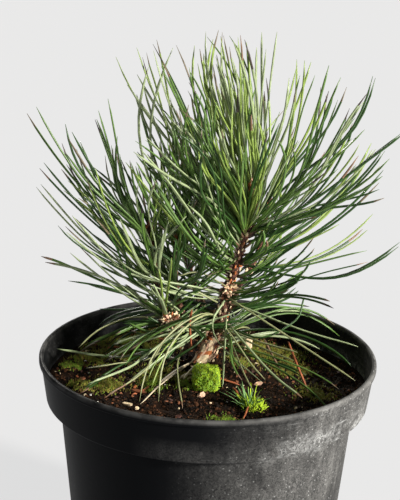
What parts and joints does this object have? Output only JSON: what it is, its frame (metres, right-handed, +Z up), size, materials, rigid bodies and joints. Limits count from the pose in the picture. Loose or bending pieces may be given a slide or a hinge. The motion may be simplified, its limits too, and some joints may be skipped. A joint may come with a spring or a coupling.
{
  "type": "potted bosnian pine",
  "caption": "Young Bosnian pine with long paired needles on a leaning trunk and short boughs, growing in a round black nursery pot with mossy soil.",
  "frame": {"origin": "centre of the pot's flat underside", "axes": "+Z up through the pot and the tree, +X to the right and -Y towards a viewer who sees the pictured side"},
  "size_m": [0.1842, 0.1893, 0.2918],
  "materials": {
    "black_plastic": "dusty moulded black plastic with pale lime marks",
    "soil": "crumbly dark potting soil with bark bits",
    "moss": "soft bright green moss",
    "bark": "scaly young bark, orange brown with pale tan scales",
    "needles": "satin green needles with grey brown tips"
  },
  "bodies": {
    "root": {"pot": "black_plastic", "soil": "soil", "moss_cushion": "moss", "moss_tuft": "moss", "trunk": "bark", "bough_left": "bark", "bough_back_left": "bark", "bough_back_right": "bark", "needles_leader": "needles", "needles_right": "needles", "needles_left_high": "needles", "needles_front": "needles", "needles_back": "needles", "needles_left": "needles", "needles_left_inner": "needles", "needles_back_left": "needles", "needles_back_right": "needles", "needles_skirt_left": "needles", "needles_skirt_right": "needles", "needles_skirt_back": "needles", "needles_skirt_front": "needles"}
  },
  "joints": []
}
